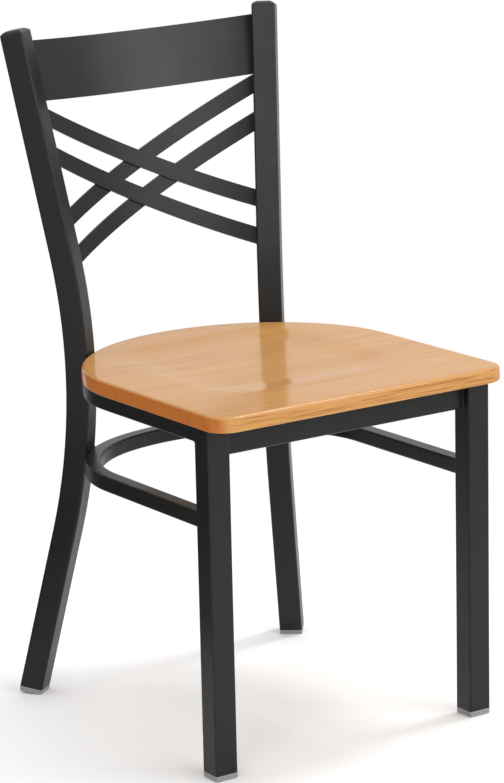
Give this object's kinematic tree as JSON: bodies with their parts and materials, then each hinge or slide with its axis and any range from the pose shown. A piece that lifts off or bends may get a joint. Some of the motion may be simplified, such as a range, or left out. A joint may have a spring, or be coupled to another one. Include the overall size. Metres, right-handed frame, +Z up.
{
  "type": "cross back dining chair",
  "caption": "Dining chair with a black steel tube frame, bowed crossed slats under a bowed top rail, a round-backed wooden seat with a shallow scoop, and plastic glides.",
  "frame": {"origin": "on the floor, at the middle of the chair's width and depth", "axes": "+Z up; the chair faces -Y and its back is towards +Y; +X is to the right as seen from the front"},
  "size_m": [0.4256, 0.5096, 0.833],
  "materials": {
    "black_frame": "satin black powder coat",
    "black_cap": "satin black powder coat",
    "seat_wood": "clear satin lacquer over pale brown wood, fine grain from side to side",
    "grey_glide": "smooth moulded grey plastic",
    "screw_steel": "zinc plated"
  },
  "bodies": {
    "root": {"seat": "seat_wood", "front_leg_left": "black_frame", "front_leg_right": "black_frame", "rear_post_left": "black_frame", "rear_post_right": "black_frame", "front_rail": "black_frame", "seat_ring": "black_frame", "lower_stretcher": "black_frame", "top_rail": "black_frame", "slat_front_upper": "black_frame", "slat_front_lower": "black_frame", "slat_rear_upper": "black_frame", "slat_rear_lower": "black_frame", "seat_tab_front_left": "black_frame", "seat_tab_rear_left": "black_frame", "seat_tab_front_right": "black_frame", "seat_tab_rear_right": "black_frame", "post_cap_left": "black_cap", "post_cap_right": "black_cap", "front_glide_left": "grey_glide", "front_glide_right": "grey_glide", "rear_glide_left": "grey_glide", "rear_glide_right": "grey_glide", "seat_screws": "screw_steel"}
  },
  "joints": []
}
